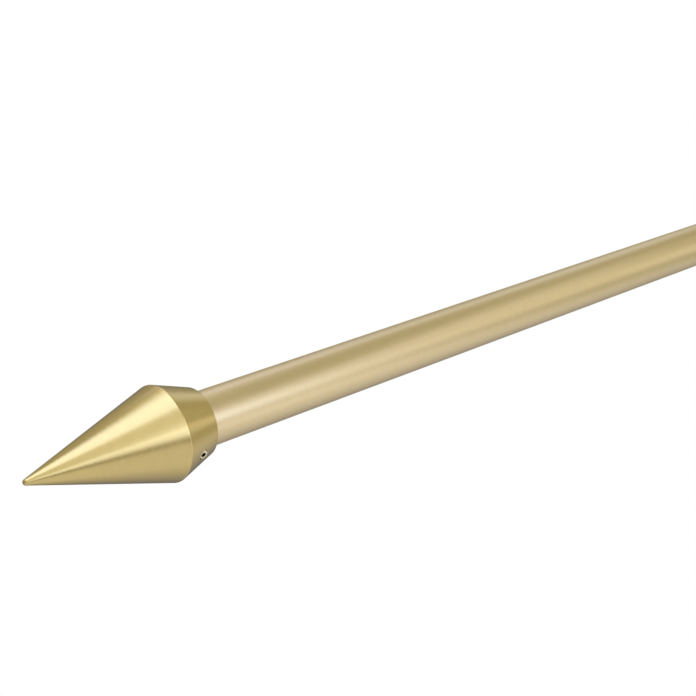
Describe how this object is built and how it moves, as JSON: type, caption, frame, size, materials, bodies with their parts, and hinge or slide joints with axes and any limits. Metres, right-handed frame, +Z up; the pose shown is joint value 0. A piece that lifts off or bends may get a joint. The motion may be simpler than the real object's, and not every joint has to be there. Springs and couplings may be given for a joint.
{
  "type": "curtain rod finial",
  "caption": "Spear-shaped turned metal finial: a long cone with a short taper behind it, fixed by a set screw on the end of a straight tubular curtain rod.",
  "frame": {"origin": "middle of the rod's square-cut end, on the rod's axis", "axes": "+X along the rod from the finial's tip to the cut end, +Z up as the rod hangs level, with the set screw on the -Y side just under the middle"},
  "size_m": [0.5, 0.0438, 0.0438],
  "materials": {
    "satin_gold": "satin gold lacquer on metal turned in a lathe, with fine rings round its axis",
    "satin_champagne": "satin champagne gold on tube, with a soft sheen along its length; the inside of the tube is bare",
    "bright_nickel": "bright nickel plate"
  },
  "bodies": {
    "root": {"finial": "satin_gold", "rod": "satin_champagne", "set_screw": "bright_nickel"}
  },
  "joints": []
}
